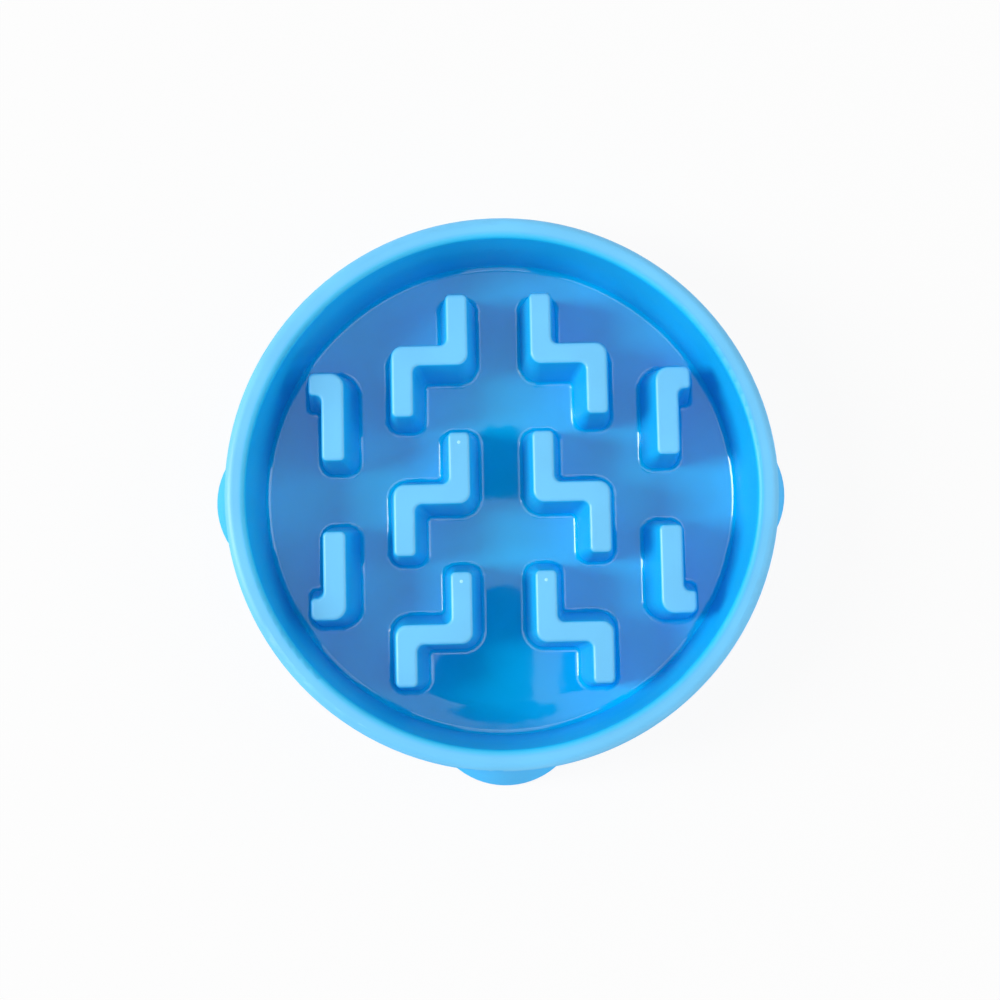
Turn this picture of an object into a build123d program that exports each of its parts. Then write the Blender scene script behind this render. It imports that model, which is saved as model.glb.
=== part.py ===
from build123d import *
import os
from collections import namedtuple
from math import atan, hypot, radians, tan

# Slow feeder bowl: one thin-walled moulding with a raised maze on its floor, standing on four rubber pads.
# Millimetres, +Z up, the ground at z = 0, the bowl's axis on Z. The feet lie on the X and Y axes.

# Bowl heights and wall
bowl_height = 45.0
floor_level = 7.0
skirt_clearance = 2.0
wall = 2.2

# Maze ridges, measured on their flat tops
ridge_height = 28.0
ridge_draft = 6.0
ridge_top_round = 1.4
ridge_base_fillet = 2.2
corner_margin = 0.2
stroke_width = 8.0
stroke_end_round = 1.8

# Z-shaped ridges: two columns of three, mirrored left and right
center_channel = 23.0
z_step = 20.4
z_bar_width = 7.4
z_half_height = 22.6
z_bend_round = 4.2
row_gap = 6.1
last_stroke_cut = 3.6

# Hook-shaped ridges: one in each quarter, bent outwards at the far end
side_channel = 17.6
hook_stem_width = 8.4
hook_reach = 4.6
hook_bar_width = 8.1
hook_start = 13.0
hook_drop = 5.9
hook_bend_round = 5.0
hook_end_round = 2.2
hook_lip_round = 1.75

# Inner wall, rim and skirt
wall_gap = 0.3
floor_fillet = 2.5
inner_draft = 2.0
rim_width = 7.7
rim_outer_round = 3.4
rim_inner_round = 2.0
skirt_draft = 4.0
skirt_edge_round = 0.8

# Feet and pads
foot_sides = ("right", "back", "left", "front")
foot_reach = 11.0
lobe_radius = 30.0
lobe_blend = 10.0
pad_radius = 6.6
pad_rim_gap = 0.6
pad_sink = 1.0
pad_edge_round = 0.7
groove_width = 0.8
groove_depth = 0.6
groove_pitch = 2.2
stem_radius = 3.2
stem_length = 8.0
stem_chamfer = 0.8
stem_clearance = 0.1
boss_wall = 2.3

# Levels and spreads that follow
ridge_top = floor_level + ridge_height
ridge_slope = tan(radians(ridge_draft))
ridge_spread = ridge_height * ridge_slope
inner_corner_round = ridge_base_fillet + corner_margin
pad_height = skirt_clearance + pad_sink
ground = 0.0

# Places of the ridges across the bowl
z_inner = center_channel / 2
z_outer = z_inner + z_step + stroke_width
hook_inner = z_outer + side_channel
hook_outer = hook_inner + hook_stem_width
hook_tip = hook_outer + hook_reach

# Places along the bowl: the rows follow one another, and the hooks end short of the outer row's middle
row_pitch = 2 * z_half_height + row_gap
hook_end = row_pitch - hook_drop

# The floor is as wide as its farthest ridge foot needs, and the rim follows
hook_corner = hypot(hook_tip - hook_end_round, hook_end - hook_end_round) + hook_end_round
upper_corner = hypot(z_inner + stroke_width, row_pitch + z_half_height)
lower_corner = hypot(z_outer, row_pitch + z_half_height - last_stroke_cut)
maze_radius = max(hook_corner, upper_corner, lower_corner)
floor_flat_radius = maze_radius + ridge_spread + ridge_base_fillet + wall_gap
floor_radius = floor_flat_radius + floor_fillet
mouth_radius = floor_radius + (bowl_height - floor_level) * tan(radians(inner_draft))
rim_radius = mouth_radius + rim_width
channel_middle = (mouth_radius + rim_radius) / 2

# The lobes lean in to the skirt, and their blend ends just under the rim's rounding
skirt_top = bowl_height - rim_outer_round
blend_angle = atan(foot_reach / (skirt_top - skirt_clearance)) - radians(skirt_draft)
lobe_top = skirt_top - lobe_blend * tan(blend_angle / 2)
lobe_center = rim_radius + foot_reach - lobe_radius
lobe_lean = foot_reach / (lobe_top - skirt_clearance)
pad_center = rim_radius + foot_reach - wall - pad_rim_gap - pad_radius

on_base = (Align.CENTER, Align.CENTER, Align.MIN)

# An outline's points, and its corners to round as (points, radius): growing rounds widen with the outline
Outline = namedtuple("Outline", "points growing steady")


def round_corners(face, points, radius):
    """Round the corners of a face that lie nearest to the given points."""
    return fillet([face.vertices().sort_by_distance(point)[0] for point in points], radius)


def bowl_section(inset, bottom):
    """Half section of the filled bowl down to bottom, or of the space under it when inset by the wall."""
    top = bowl_height - inset
    floor = floor_level - inset
    rim_edge = (rim_radius - inset, top)
    mouth_edge = (mouth_radius + inset, top)
    floor_edge = (floor_radius + inset, floor)
    skirt_edge = (rim_edge[0] + (top - bottom) * tan(radians(skirt_draft)), bottom)
    outline = Polyline((0, bottom), skirt_edge, rim_edge, mouth_edge, floor_edge, (0, floor), close=True)
    face = round_corners(make_face(outline), [floor_edge], floor_fillet + inset)
    if inset == 0:
        face = round_corners(face, [rim_edge], rim_outer_round)
        face = round_corners(face, [mouth_edge], rim_inner_round)
    return Plane.XZ * face


def lobe(inset, bottom):
    """One foot lobe on +X: a cone outside the middle of the hollow rim."""
    base_radius = lobe_radius - inset + (skirt_clearance - bottom) * lobe_lean
    height = lobe_top - bottom
    cone = Cone(base_radius, base_radius - height * lobe_lean, height, align=on_base)
    return Pos(lobe_center, 0, bottom) * cone - Cylinder(channel_middle, bowl_height, align=on_base)


def around_feet(piece):
    """Copies of a piece from +X at every foot."""
    return [Rot(0, 0, 360 / len(foot_sides) * i) * piece for i in range(len(foot_sides))]


def z_outline(grow, lower_cut):
    """Right-hand Z about its bar's middle, grown outwards by grow."""
    left = z_inner - grow
    right = z_outer + grow
    upper_edge = z_inner + stroke_width + grow
    lower_edge = z_outer - stroke_width - grow
    bar = z_bar_width / 2 + grow
    top = z_half_height + grow
    bottom = lower_cut - z_half_height - grow
    upper_end = [(upper_edge, top), (left, top)]
    lower_end = [(lower_edge, bottom), (right, bottom)]
    bends = [(left, -bar), (right, bar)]
    inner = [(lower_edge, -bar), (upper_edge, bar)]
    points = upper_end + [bends[0], inner[0]] + lower_end + [bends[1], inner[1]]
    growing = [(upper_end + lower_end, stroke_end_round), (bends, z_bend_round)]
    return Outline(points, growing, [(inner, inner_corner_round)])


def hook_outline(grow):
    """Hook in the +X +Y quarter, grown outwards by grow."""
    left = hook_inner - grow
    stem = hook_outer + grow
    tip = hook_tip + grow
    near = hook_start - grow
    far = hook_end + grow
    bar = hook_end - hook_bar_width - grow
    stem_end = [(left, near), (stem, near)]
    inner = [(stem, bar)]
    lip = [(tip, bar)]
    corner = [(tip, far)]
    bend = [(left, far)]
    points = stem_end + inner + lip + corner + bend
    growing = [(stem_end, stroke_end_round), (corner, hook_end_round), (bend, hook_bend_round)]
    return Outline(points, growing, [(inner, inner_corner_round), (lip, hook_lip_round)])


def ridge_section(outline, grow, level, least_round=0):
    """Face of a grown outline at a level, with the rounds that are larger than least_round."""
    shape = outline(grow)
    face = make_face(Polyline(*shape.points, close=True))
    for points, radius in shape.growing:
        if radius > least_round:
            face = round_corners(face, points, radius + grow)
    return Pos(0, 0, level) * face


def ridge(outline):
    """One ridge from the floor up: drafted sides, rounded corners and a rounded top edge."""
    base = ridge_section(outline, ridge_spread, floor_level)
    top = ridge_section(outline, 0, ridge_top)
    solid = loft([base, top], ruled=True)
    middle = (floor_level + ridge_top) / 2
    for points, radius in outline(ridge_spread / 2).steady:
        edges = [solid.edges().sort_by_distance((x, y, middle))[0] for x, y in points]
        solid = fillet(edges, radius)
    return fillet(solid.faces().sort_by(Axis.Z)[-1].edges(), ridge_top_round)


def ridge_core(outline):
    """The hollow under one ridge, a wall's thickness inside it."""
    core_top = ridge_top - wall
    base = ridge_section(outline, (ridge_top - ground) * ridge_slope - wall, ground, wall)
    top = ridge_section(outline, wall * ridge_slope - wall, core_top, wall)
    return loft([base, top], ruled=True)


def maze(make):
    """All ten ridges, or the hollows under them."""
    pieces = []
    for row in (1, 0, -1):
        lower_cut = last_stroke_cut if row == -1 else 0
        right_z = Pos(0, row * row_pitch, 0) * make(lambda grow: z_outline(grow, lower_cut))
        pieces += [right_z, mirror(right_z, Plane.YZ)]
    hook = make(hook_outline)
    right_hooks = [hook, mirror(hook, Plane.XZ)]
    return pieces + right_hooks + [mirror(right_hook, Plane.YZ) for right_hook in right_hooks]


def outer_form():
    """The filled bowl with its lobes blended into the skirt, before the maze."""
    form = revolve(bowl_section(0, skirt_clearance), Axis.Z) + around_feet(lobe(0, skirt_clearance))
    lobe_edges = [
        edge for edge in form.edges().filter_by(GeomType.BSPLINE)
        if edge.bounding_box().size.Z > (lobe_top - skirt_clearance) / 2
    ]
    form = fillet(lobe_edges, lobe_blend)
    return fillet(form.faces().sort_by(Axis.Z)[0].edges(), skirt_edge_round)


def under_form():
    """The space under the bowl, open to the ground, with the pads' bosses left standing in it."""
    boss_radius = stem_radius + stem_clearance + boss_wall
    boss = Pos(pad_center, 0, pad_height) * Cylinder(boss_radius, bowl_height, align=on_base)
    space = revolve(bowl_section(wall, ground), Axis.Z) + around_feet(lobe(wall, ground))
    return space - around_feet(boss) + maze(ridge_core)


def bowl_shell():
    """The bowl's one moulding."""
    filled = outer_form() + maze(ridge)
    base_edges = [
        edge for edge in filled.edges().filter_by_position(Axis.Z, floor_level, floor_level)
        if edge.length < floor_radius
    ]
    filled = fillet(base_edges, ridge_base_fillet)
    bore = Cylinder(stem_radius + stem_clearance, stem_length + stem_clearance, align=on_base)
    return filled - under_form() - around_feet(Pos(pad_center, 0, pad_height) * bore)


def foot_pad():
    """One rubber pad on +X: a grooved disc with a stem that is pressed into its boss."""
    disc = Cylinder(pad_radius, pad_height, align=on_base)
    disc = fillet(disc.edges().sort_by(Axis.Z)[0], pad_edge_round)
    groove_count = int((pad_radius - pad_edge_round - groove_width) / groove_pitch)
    for i in range(groove_count):
        middle = (i + 1) * groove_pitch
        ring = Cylinder(middle + groove_width / 2, groove_depth, align=on_base)
        disc -= ring - Cylinder(middle - groove_width / 2, groove_depth, align=on_base)
    stem = Cylinder(stem_radius, stem_length, align=on_base)
    stem = chamfer(stem.edges().sort_by(Axis.Z)[-1], stem_chamfer)
    return Pos(pad_center, 0, 0) * (disc + Pos(0, 0, pad_height) * stem)


os.makedirs("parts", exist_ok=True)
export_step(bowl_shell(), "parts/bowl_shell.step")
for side, pad in zip(foot_sides, around_feet(foot_pad())):
    export_step(pad, f"parts/foot_pad_{side}.step")
print(f"rim diameter {2 * rim_radius:.2f}, over feet {2 * (rim_radius + foot_reach):.2f}")
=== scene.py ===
from collections import namedtuple
from math import copysign, cos, pi, radians, sin, tan

import bmesh
import bpy
from mathutils import Matrix, Vector


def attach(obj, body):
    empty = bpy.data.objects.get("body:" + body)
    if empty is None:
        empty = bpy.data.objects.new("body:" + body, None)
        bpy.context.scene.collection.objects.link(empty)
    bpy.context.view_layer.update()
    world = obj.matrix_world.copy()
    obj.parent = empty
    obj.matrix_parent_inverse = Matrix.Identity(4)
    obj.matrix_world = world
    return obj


# Slow feeder bowl: finishes for the moulding and its rubber pads, moulding pips, soft studio light and the
# photograph's view. Metres, +Z up, the ground at z = 0.

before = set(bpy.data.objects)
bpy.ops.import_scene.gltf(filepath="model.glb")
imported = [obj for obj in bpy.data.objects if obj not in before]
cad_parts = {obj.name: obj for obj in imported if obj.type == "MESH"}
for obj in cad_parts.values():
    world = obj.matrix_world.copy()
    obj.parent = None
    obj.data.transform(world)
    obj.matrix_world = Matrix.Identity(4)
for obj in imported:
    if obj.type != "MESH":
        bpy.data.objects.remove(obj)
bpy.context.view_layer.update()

# Camera: fitted to the photograph's rim, floor edge and ridge tops
camera_place = Vector((-0.0048, -0.0352, 0.5244))
camera_target = Vector((-0.0005, -0.0004, 0.0))
camera_roll = radians(-1.2)
camera_lens = 48.2
camera_sensor = 36.0

# Studio light: a fill from all round, weaker from the front and above, and soft panels that face the bowl
fill_front = 0.45
fill_back = 0.75
fill_high = 0.3
panels = {
    "key_window": {"place": Vector((-2.2, 0.0, 1.48)), "size": (0.8, 1.6), "radiance": 13.5},
    "right_card": {"place": Vector((1.1, 0.0, 0.8)), "size": (0.8, 0.6), "radiance": 2.0},
    "back_card": {"place": Vector((0.0, 1.1, 0.8)), "size": (0.8, 0.6), "radiance": 0.5},
    "front_card": {"place": Vector((0.75, -1.05, 0.24)), "size": (1.2, 0.4), "radiance": 2.0},
}

# Camera rig above the bowl: dark rounded cards that only reflections show
rig_level = 0.6
rig_cards = {
    "rig_head": {"middle": (0.005, 0.07), "half_size": (0.019, 0.031)},
    "rig_neck": {"middle": (0.005, -0.086), "half_size": (0.024, 0.053)},
    "rig_left_arm": {"middle": (-0.02, -0.147), "half_size": (0.038, 0.062)},
    "rig_right_arm": {"middle": (0.072, -0.13), "half_size": (0.021, 0.055)},
}
rig_squareness = 4.0
rig_sides = 48
rig_gray = (0.01, 0.01, 0.01, 1.0)

# Ring light: a bright band overhead that only reflections show
ring_level = 0.9
ring_angles = (radians(25), radians(37))
ring_sides = 96
ring_radiance = 2.6

# Floor: white paper that keeps the bowl's soft shadow, and is plain white farther off
floor_reach = 1.6
floor_white = (0.8, 0.8, 0.8, 1.0)
background_share = 0.92
shadow_reach = (0.25, 0.9)
background_white = (1.0, 1.0, 1.0, 1.0)
stage_roughness = 1.0

# Noise: its usual detail, and the span that most of its values lie in
noise_detail = 2.0
noise_span = (0.3, 0.7)

# Bowl plastic: blues of the floor, the steep inner faces (a darker blue, painted shade), the ridge tops and
# rim (a lighter blue, painted sheen), and the outside
gloss_blue = (0.0, 0.55, 0.95, 1.0)
# The steep inner faces' darker blue is painted shade
steep_painted_shade_blue = (0.0, 0.485, 0.9, 1.0)
# The ridge tops' and rim's lighter, whiter blue is a painted sheen
painted_sheen_blue = (0.14, 0.6, 1.0, 1.0)
outer_blue = (0.0, 0.48, 1.0, 1.0)
tint_change = 0.04
tint_patch = 0.03
plastic_ior = 1.58

# Bowl plastic: roughness from the polished floor to the matte outside, and fine relief
gloss_roughness = (0.03, 0.05)
edge_roughness = (0.34, 0.42)
flat_roughness = (0.55, 0.65)
rim_roughness = (0.4, 0.5)
wall_roughness = (0.42, 0.52)
outer_roughness = (0.65, 0.78)
polish_patch = 0.012
polish_detail = 4.0
satin_grain = 0.0003
satin_depth = 0.000006
peel_patch = 0.007
peel_detail = 1.0
peel_depth = 0.000012

# Bowl plastic: where one finish turns into the next, by how far up a face looks or by distance from a level
ridge_facing = (0.45, 0.8)
flat_facing = (0.93, 0.985)
steep_facing = (0.3, 0.5)
ridge_lower_blend = (-0.0018, -0.0012)
ridge_upper_blend = (0.001, 0.002)
rim_blend = (-0.003, -0.001)
rim_inner_blend = (-0.0018, 0.0012)
polish_blend = (0.003, 0.008)

# Edge of the bowl's floor: its fillet, and a slight dish that bends what the edge mirrors
floor_fillet = 0.0025
dish_width = 0.01
dish_height = 0.0013
dish_blend = (0.005, 0.025)

# Moulding pips: low round bumps on the far ends of three ridge tops
pip_places = {
    "moulding_pip_middle_left": (-0.0155, 0.0189),
    "moulding_pip_front_left": (-0.0155, -0.0322),
    "moulding_pip_front_right": (0.0155, -0.0322),
}
pip_radius = 0.0009
pip_height = 0.00014
pip_sink = 0.00004
pip_rings = 6
pip_sides = 24
# Pip colours: pale blue to near white, a painted highlight
pip_glint_blue = (0.3, 0.8, 1.0, 1.0)
pip_glint_white = (0.5, 0.95, 1.0, 1.0)
pip_patch = 0.0006
pip_roughness = (0.2, 0.3)

# Pad rubber
rubber_dark = (0.02, 0.02, 0.022, 1.0)
rubber_light = (0.045, 0.045, 0.048, 1.0)
rubber_roughness = (0.6, 0.75)
rubber_grain = 0.0005
rubber_detail = 3.0
rubber_depth = 0.00003

# Levels and radii of the moulding, read from the frame
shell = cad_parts["bowl_shell"]
shell_points = [vertex.co for vertex in shell.data.vertices]
same_level = 0.00001
maze_share = 0.9
rim_top = max(point.z for point in shell_points)
rim_flat = min(point.xy.length for point in shell_points if point.z > rim_top - same_level)
ridge_top = max(point.z for point in shell_points if point.xy.length < maze_share * rim_flat)
floor_level = shell.ray_cast(Vector((0, 0, rim_top)), Vector((0, 0, -1)))[1].z
floor_edge = max(
    point.xy.length for point in shell_points
    if abs(point.z - floor_level) < same_level and point.xy.length < rim_flat
)

# Shares from 0 to 1 of the moulding's zones
Zones = namedtuple("Zones", "ridge flat rim top steep inside polished")


class Nodes:
    """Short ways to add nodes to a tree."""

    def __init__(self, tree):
        self.tree = tree

    def feed(self, socket, value):
        """Link a socket from another one, or set it to a value."""
        if isinstance(value, bpy.types.NodeSocket):
            self.tree.links.new(value, socket)
        else:
            socket.default_value = value

    def add(self, kind, sockets=(), **settings):
        """Add a node with its settings, and feed its input sockets."""
        node = self.tree.nodes.new(kind)
        for name, value in settings.items():
            setattr(node, name, value)
        for name, value in dict(sockets).items():
            self.feed(node.inputs[name], value)
        return node

    def math(self, operation, first, second):
        return self.add("ShaderNodeMath", {0: first, 1: second}, operation=operation).outputs["Value"]

    def vector(self, operation, first, second=(0, 0, 0)):
        return self.add("ShaderNodeVectorMath", {0: first, 1: second}, operation=operation).outputs["Vector"]

    def parts(self, vector):
        """The X, Y and Z of a vector, by name."""
        return self.add("ShaderNodeSeparateXYZ", {"Vector": vector}).outputs

    def ramp(self, value, low, high, start, end, curve="LINEAR"):
        """From start, where the value is low, to end, where it is high."""
        sockets = {"Value": value, "From Min": low, "From Max": high, "To Min": start, "To Max": end}
        return self.add("ShaderNodeMapRange", sockets, interpolation_type=curve).outputs["Result"]


class Finish(Nodes):
    """A new material with its shader."""

    def __init__(self, name):
        self.material = bpy.data.materials.new(name)
        self.material.use_nodes = True
        super().__init__(self.material.node_tree)
        self.shader = self.tree.nodes["Principled BSDF"]

    def place(self):
        """The point on the part, in metres."""
        return self.add("ShaderNodeTexCoord").outputs["Object"]

    def mesh_normal(self):
        return self.add("ShaderNodeNewGeometry").outputs["Normal"]

    def radius(self, vector):
        """The length of a vector seen from above."""
        flat = self.vector("MULTIPLY", vector, (1, 1, 0))
        return self.add("ShaderNodeVectorMath", {0: flat}, operation="LENGTH").outputs["Value"]

    def rise(self, value, low, high, start=0.0, end=1.0):
        """A smooth step from start to end."""
        return self.ramp(value, low, high, start, end, "SMOOTHSTEP")

    def past(self, value, level, blend, start=0.0, end=1.0):
        """A smooth step across a level, over the two distances from it in blend."""
        return self.rise(value, level + blend[0], level + blend[1], start, end)

    def noise(self, place, patch, detail=noise_detail):
        """Soft noise whose patches are about that wide."""
        sockets = {"Vector": place, "Scale": 1 / patch, "Detail": detail}
        return self.add("ShaderNodeTexNoise", sockets).outputs["Fac"]

    def spread(self, noise, low, high):
        """A number that follows the noise from low to high."""
        return self.rise(noise, *noise_span, low, high)

    def blend(self, share, first, second):
        """Two numbers mixed by a share."""
        sockets = {"Factor": share, "A": first, "B": second}
        return self.add("ShaderNodeMix", sockets, data_type="FLOAT").outputs["Result"]

    def mix(self, share, first, second):
        """Two colours or vectors mixed by a share."""
        sockets = {"Fac": share, "Color1": first, "Color2": second}
        return self.add("ShaderNodeMixRGB", sockets).outputs["Color"]

    def bump(self, height, depth, normal):
        """Fine relief of that depth on a surface with that normal."""
        relief = self.add("ShaderNodeBump", {"Height": height, "Distance": depth, "Normal": normal})
        self.feed(self.shader.inputs["Normal"], relief.outputs["Normal"])

    def show(self, shader):
        """Make another shader the material's surface."""
        self.feed(self.tree.nodes["Material Output"].inputs["Surface"], shader)


def floor_edge_normal(finish, place, radius):
    """The mesh's normal, made true on the round edge between floor and wall, where the mesh is uneven."""
    nearness = finish.math("MINIMUM", finish.math("DIVIDE", floor_edge, radius), 1.0)
    scale = finish.add("ShaderNodeCombineXYZ", {"X": nearness, "Y": nearness}).outputs["Vector"]
    circle = finish.vector("MULTIPLY", place, scale)
    center = finish.vector("ADD", circle, (0, 0, floor_level + floor_fillet))
    inward = finish.vector("NORMALIZE", finish.vector("SUBTRACT", center, place))
    past_floor = finish.math("GREATER_THAN", radius, floor_edge)
    before_wall = finish.math("LESS_THAN", radius, floor_edge + floor_fillet - same_level)
    above_floor = finish.math("GREATER_THAN", finish.parts(place)["Z"], floor_level - same_level)
    on_edge = finish.math("MULTIPLY", finish.math("MULTIPLY", past_floor, before_wall), above_floor)
    return finish.mix(on_edge, finish.mesh_normal(), inward)


def plastic_zones(finish, height, radius, facing):
    """Where ridge tops, level faces, the rim, both tops, steep faces, the inside and the low parts are."""
    from_ridge = finish.past(height, ridge_top, ridge_lower_blend)
    over_ridge = finish.past(height, ridge_top, ridge_upper_blend)
    ridge_level = finish.math("SUBTRACT", from_ridge, over_ridge)
    ridge = finish.math("MULTIPLY", finish.rise(facing, *ridge_facing), ridge_level)
    rim_level = finish.past(height, rim_top, rim_blend)
    rim = finish.math("MULTIPLY", rim_level, finish.past(radius, rim_flat, rim_inner_blend))
    return Zones(
        ridge=ridge,
        flat=finish.rise(facing, *flat_facing),
        rim=rim,
        top=finish.math("MAXIMUM", ridge, rim),
        steep=finish.rise(facing, *steep_facing, 1.0, 0.0),
        inside=finish.math("LESS_THAN", radius, rim_flat),
        polished=finish.past(height, floor_level, polish_blend, 1.0, 0.0),
    )


def plastic_blue(finish, place, zones):
    """The blue of each zone, with painted shade on the steep inner faces and a painted sheen on the ridge
    tops and rim; slightly lighter and darker in patches.
    """
    # Steep inner faces darker than the floor: painted shade
    inner_blue = finish.mix(zones.steep, gloss_blue, steep_painted_shade_blue)
    body_blue = finish.mix(zones.inside, outer_blue, inner_blue)
    # Ridge tops and rim lighter: painted sheen
    blue = finish.mix(zones.top, body_blue, painted_sheen_blue)
    level = finish.spread(finish.noise(place, tint_patch), 1 - tint_change, 1 + tint_change)
    return finish.add("ShaderNodeHueSaturation", {"Color": blue, "Value": level}).outputs["Color"]


def plastic_roughness(finish, place, grain, zones):
    """The roughness of each zone: polish in wide patches, and all the rest in a fine grain."""
    gloss = finish.spread(finish.noise(place, polish_patch, polish_detail), *gloss_roughness)
    wall, outer, edge, flat, rim = (
        finish.spread(grain, *limits)
        for limits in (wall_roughness, outer_roughness, edge_roughness, flat_roughness, rim_roughness)
    )
    matte = finish.blend(zones.inside, outer, wall)
    low = finish.blend(zones.steep, gloss, matte)
    body = finish.blend(zones.polished, matte, low)
    satin = finish.blend(zones.flat, edge, flat)
    return finish.blend(zones.rim, finish.blend(zones.ridge, body, satin), rim)


def plastic_relief(finish, place, grain, zones):
    """Fine relief in metres: a soft waviness where the plastic is glossy, and a grain elsewhere."""
    peel = finish.math("MULTIPLY", finish.noise(place, peel_patch, peel_detail), peel_depth)
    fine = finish.math("MULTIPLY", grain, satin_depth)
    return finish.blend(finish.math("MAXIMUM", zones.top, zones.steep), peel, fine)


def floor_dish(finish, height, radius, inside):
    """The slight rise of the floor towards its edge, in metres."""
    edge = finish.past(radius, floor_edge, (-dish_width, dish_width), 0.0, dish_height)
    low = finish.past(height, floor_level, dish_blend, 1.0, 0.0)
    return finish.math("MULTIPLY", edge, finish.math("MULTIPLY", low, inside))


def bowl_plastic():
    """Blue moulded plastic: polished floor, matte ridge tops with satin edges, matte walls and outside; its
    colour has a painted sheen on the ridge tops and rim and painted shade on the steep faces.
    """
    finish = Finish("bowl_plastic_finish")
    place = finish.place()
    height = finish.parts(place)["Z"]
    radius = finish.radius(place)
    normal = floor_edge_normal(finish, place, radius)
    zones = plastic_zones(finish, height, radius, finish.parts(normal)["Z"])
    grain = finish.noise(place, satin_grain)
    finish.feed(finish.shader.inputs["Base Color"], plastic_blue(finish, place, zones))
    finish.feed(finish.shader.inputs["Roughness"], plastic_roughness(finish, place, grain, zones))
    relief = plastic_relief(finish, place, grain, zones)
    dish = floor_dish(finish, height, radius, zones.inside)
    finish.bump(finish.math("ADD", relief, dish), 1.0, normal)
    finish.shader.inputs["IOR"].default_value = plastic_ior
    return finish.material


def pip_painted_glint():
    """Pale blue to near white in patches: a painted highlight on the moulding pips."""
    finish = Finish("painted_glint_pip_finish")
    patch = finish.noise(finish.place(), pip_patch)
    finish.feed(finish.shader.inputs["Base Color"], finish.mix(patch, pip_glint_blue, pip_glint_white))
    finish.feed(finish.shader.inputs["Roughness"], finish.spread(patch, *pip_roughness))
    finish.shader.inputs["IOR"].default_value = plastic_ior
    return finish.material


def pad_rubber():
    """Dark rubber with a fine moulded grain."""
    finish = Finish("pad_rubber_finish")
    grain = finish.noise(finish.place(), rubber_grain, rubber_detail)
    finish.feed(finish.shader.inputs["Base Color"], finish.mix(grain, rubber_dark, rubber_light))
    finish.feed(finish.shader.inputs["Roughness"], finish.spread(grain, *rubber_roughness))
    finish.bump(grain, rubber_depth, finish.mesh_normal())
    return finish.material


def circle_points(x, y, z, reach, sides):
    """Corners round a level circle."""
    angles = [2 * pi * side / sides for side in range(sides)]
    return [(x + reach * cos(angle), y + reach * sin(angle), z) for angle in angles]


def moulding_pip(name, x, y, material):
    """A low round bump on a ridge top, closed by an underside that is sunk into it."""
    shape = bmesh.new()
    inner = [shape.verts.new((x, y, ridge_top + pip_height))] * pip_sides
    for ring in range(1, pip_rings + 1):
        share = ring / pip_rings
        level = ridge_top - pip_sink + (pip_height + pip_sink) * (1 + cos(pi * share)) / 2
        points = circle_points(x, y, level, pip_radius * share, pip_sides)
        outer = [shape.verts.new(point) for point in points]
        for side in range(pip_sides):
            following = (side + 1) % pip_sides
            corners = (inner[side], outer[side], outer[following], inner[following])
            shape.faces.new(dict.fromkeys(corners))
        inner = outer
    shape.faces.new(reversed(inner))
    mesh = bpy.data.meshes.new(name)
    shape.to_mesh(mesh)
    shape.free()
    mesh.shade_smooth()
    mesh.materials.append(material)
    pip = bpy.data.objects.new(name, mesh)
    bpy.context.scene.collection.objects.link(pip)
    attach(pip, "root")


def seen_directly(nodes):
    """1 where the background is looked at, also mirrored or through glass, and 0 where it lights things."""
    rays = nodes.add("ShaderNodeLightPath").outputs
    bent = nodes.math("MAXIMUM", rays["Is Glossy Ray"], rays["Is Transmission Ray"])
    return nodes.math("MAXIMUM", rays["Is Camera Ray"], bent)


def white_world():
    """White all round where it is seen, and a soft fill of light on the object."""
    world = bpy.data.worlds.new("white_room")
    world.use_nodes = True
    nodes = Nodes(world.node_tree)
    background = nodes.tree.nodes["Background"]
    direction = nodes.parts(nodes.add("ShaderNodeTexCoord").outputs["Generated"])
    around = nodes.ramp(direction["Y"], -1.0, 1.0, fill_front, fill_back)
    fill = nodes.ramp(direction["Z"], 0.0, 1.0, around, fill_high)
    background.inputs["Color"].default_value = background_white
    nodes.feed(background.inputs["Strength"], nodes.ramp(seen_directly(nodes), 0.0, 1.0, fill, 1.0))
    bpy.context.scene.world = world


def dull_finish(name, color):
    """A plain colour without gloss, for the stage."""
    finish = Finish(name)
    finish.shader.inputs["Base Color"].default_value = color
    finish.shader.inputs["Roughness"].default_value = stage_roughness
    finish.shader.inputs["Specular IOR Level"].default_value = 0.0
    return finish


def white_floor():
    """A wide sheet of white paper on the ground."""
    bpy.ops.mesh.primitive_plane_add(size=2 * floor_reach)
    floor = bpy.context.object
    floor.name = "paper_floor"
    finish = dull_finish("paper_floor", floor_white)
    glow = finish.add("ShaderNodeEmission", {"Color": background_white, "Strength": 1.0})
    white_share = finish.rise(finish.radius(finish.place()), *shadow_reach, background_share, 1.0)
    share = finish.math("MULTIPLY", seen_directly(finish), white_share)
    shaders = {0: share, 1: finish.shader.outputs["BSDF"], 2: glow.outputs["Emission"]}
    finish.show(finish.add("ShaderNodeMixShader", shaders).outputs["Shader"])
    floor.data.materials.append(finish.material)


def soft_panel(name, place, size, radiance):
    """A rectangular light of even brightness that faces the bowl."""
    light = bpy.data.lights.new(name, "AREA")
    light.shape = "RECTANGLE"
    light.size, light.size_y = size
    light.energy = radiance * pi * size[0] * size[1]
    panel = bpy.data.objects.new(name, light)
    panel.location = place
    panel.rotation_euler = (-place).to_track_quat("-Z", "Y").to_euler()
    panel.visible_camera = False
    bpy.context.scene.collection.objects.link(panel)


def reflected_only(name, corners, faces, material):
    """Add a stage piece that only reflections show."""
    mesh = bpy.data.meshes.new(name)
    mesh.from_pydata(corners, [], faces)
    mesh.materials.append(material)
    piece = bpy.data.objects.new(name, mesh)
    piece.visible_camera = False
    piece.visible_diffuse = False
    piece.visible_shadow = False
    bpy.context.scene.collection.objects.link(piece)


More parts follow.
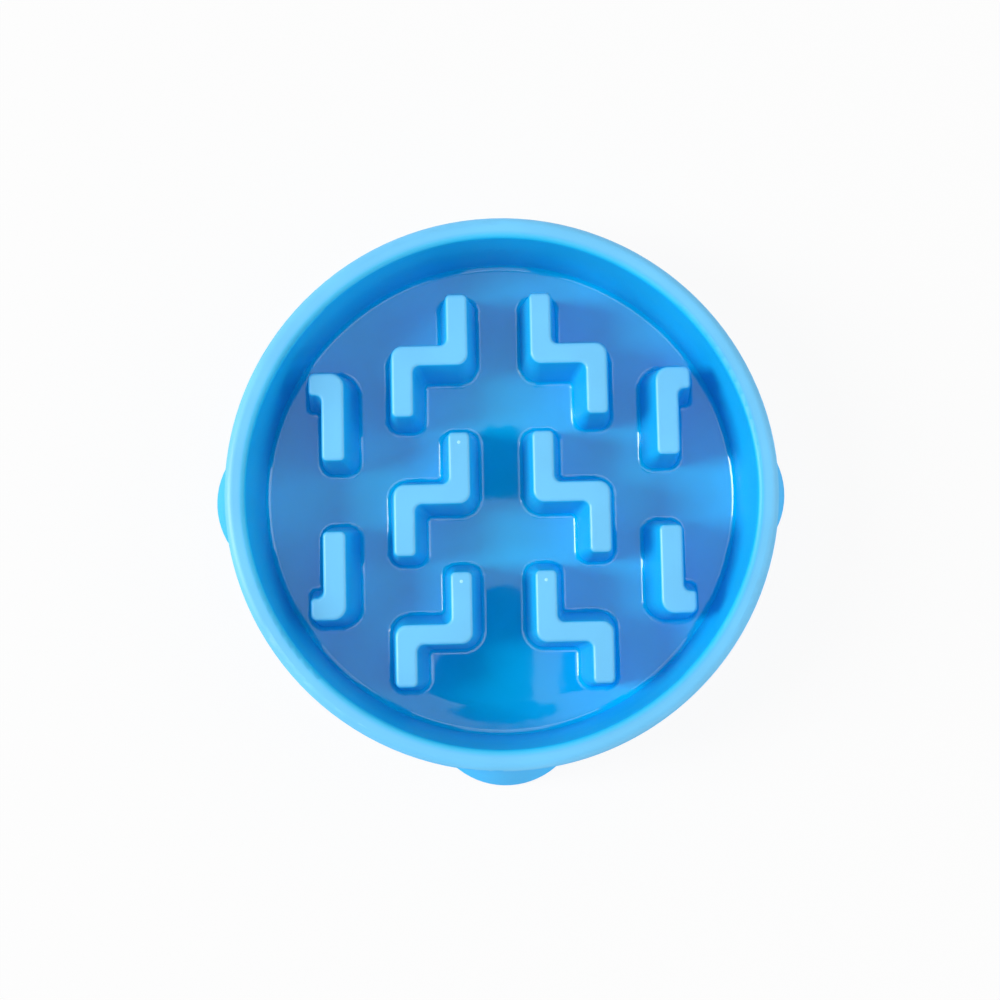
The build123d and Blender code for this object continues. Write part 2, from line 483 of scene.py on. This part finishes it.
def ring_light():
    """A flat bright ring over the bowl."""
    finish = Finish("ring_glow")
    glow = finish.add("ShaderNodeEmission", {"Color": background_white, "Strength": ring_radiance})
    finish.show(glow.outputs["Emission"])
    corners = []
    for angle in ring_angles:
        corners += circle_points(0, 0, ring_level, ring_level * tan(angle), ring_sides)
    faces = []
    for side in range(ring_sides):
        following = (side + 1) % ring_sides
        faces.append((side, following, following + ring_sides, side + ring_sides))
    reflected_only("ring_light", corners, faces, finish.material)


def rig_corner(angle, middle, half_size):
    """A point on a rounded card's outline."""
    corner = []
    for share, center, reach in zip((cos(angle), sin(angle)), middle, half_size):
        corner.append(center + copysign(abs(share) ** (2 / rig_squareness), share) * reach)
    return corner + [rig_level]


def camera_rig():
    """The dark underside of the camera's head and arms."""
    material = dull_finish("rig_gray", rig_gray).material
    for name, card in rig_cards.items():
        corners = [rig_corner(2 * pi * side / rig_sides, **card) for side in range(rig_sides)]
        reflected_only(name, corners, [range(rig_sides)], material)


def photo_camera():
    """The photograph's camera: almost straight above, a little in front and rolled."""
    camera = bpy.data.cameras.new("photo_camera")
    camera.sensor_width = camera_sensor
    camera.lens = camera_lens
    back = (camera_place - camera_target).normalized()
    right = Vector((0, 1, 0)).cross(back).normalized()
    level = Matrix((right, back.cross(right), back)).transposed()
    turn = Matrix.Rotation(camera_roll, 3, back) @ level
    holder = bpy.data.objects.new("photo_camera", camera)
    holder.matrix_world = Matrix.Translation(camera_place) @ turn.to_4x4()
    bpy.context.scene.collection.objects.link(holder)
    bpy.context.scene.camera = holder


def dress(node, material):
    """Give a node of the frame its finish."""
    for slot in node.material_slots:
        slot.material = material


rubber = pad_rubber()
for name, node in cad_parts.items():
    if name.startswith("foot_pad"):
        dress(node, rubber)
dress(shell, bowl_plastic())
# The pips are painted pale as a highlight
glint_paint = pip_painted_glint()
for name, (x, y) in pip_places.items():
    moulding_pip(name, x, y, glint_paint)

white_world()
white_floor()
for name, panel in panels.items():
    soft_panel(name, **panel)
camera_rig()
ring_light()
photo_camera()
bpy.context.scene.view_settings.view_transform = "Standard"
